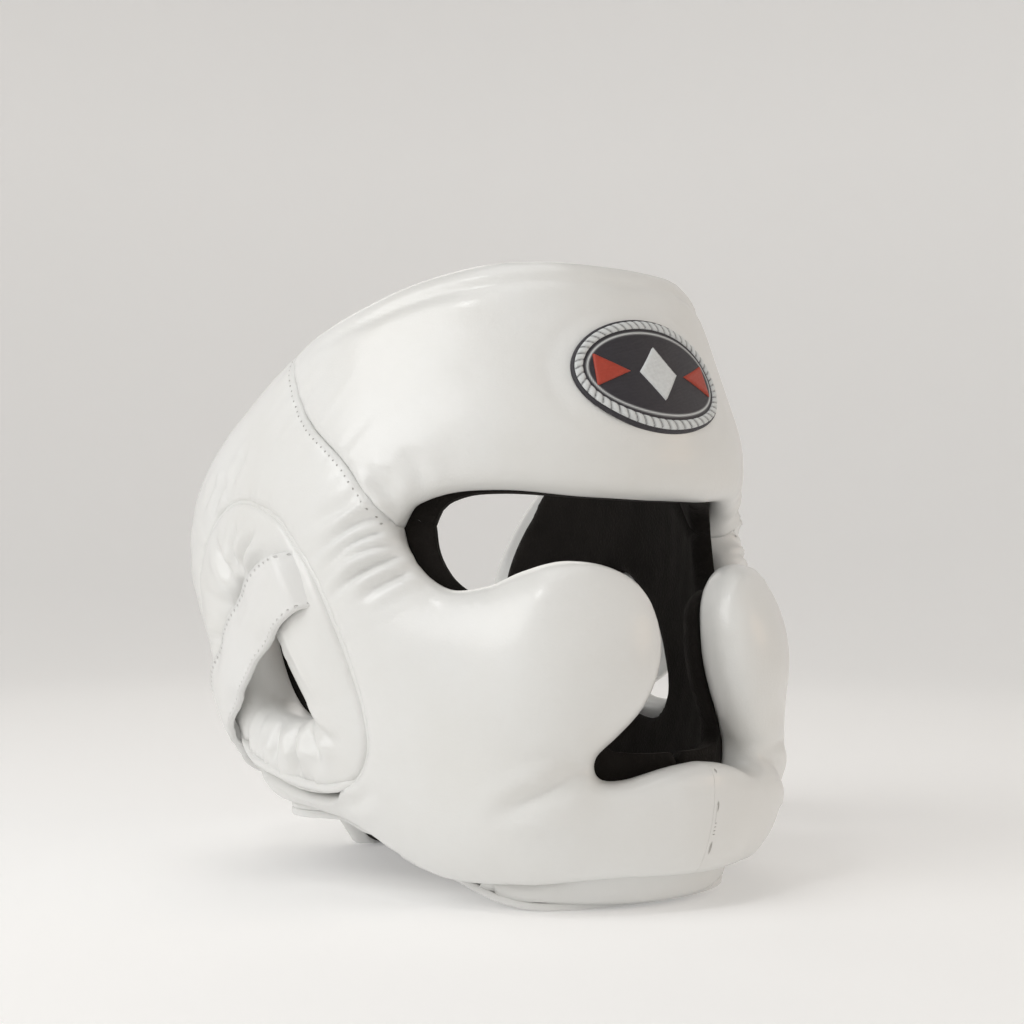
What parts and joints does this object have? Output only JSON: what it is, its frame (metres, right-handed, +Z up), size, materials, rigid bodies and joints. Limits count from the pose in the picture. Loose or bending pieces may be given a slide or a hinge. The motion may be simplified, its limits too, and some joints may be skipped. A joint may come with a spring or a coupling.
{
  "type": "padded full-face sparring headgear",
  "caption": "Padded full-face sparring headgear with cheek and chin guard, ear rings, crossing ear straps, neck pad and chin strap.",
  "frame": {"origin": "centre of the bounding box, on the floor that it stands on", "axes": "+Z up, the face towards -Y, the wearer's left towards +X"},
  "size_m": [0.225, 0.2356, 0.2261],
  "materials": {
    "white_leather": "smooth, semi-gloss",
    "strap_leather": "smooth, satin",
    "black_lining": "suede",
    "badge_black": "satin",
    "badge_white": "satin",
    "badge_red": "satin"
  },
  "bodies": {
    "root": {"brow_pad": "white_leather", "side_pad_left": "white_leather", "side_pad_right": "white_leather", "ear_ring_left": "white_leather", "ear_ring_right": "white_leather", "neck_pad": "white_leather", "chin_pad": "white_leather", "brow_lining": "black_lining", "side_lining_left": "black_lining", "side_lining_right": "black_lining", "neck_lining": "black_lining", "ear_strap_left": "strap_leather", "ear_strap_right": "strap_leather", "chin_strap": "strap_leather", "chin_strap_tab": "strap_leather", "badge_base": "badge_black", "badge_border": "badge_white", "badge_diamond": "badge_white", "badge_wedge_left": "badge_red", "badge_wedge_right": "badge_red"}
  },
  "joints": []
}
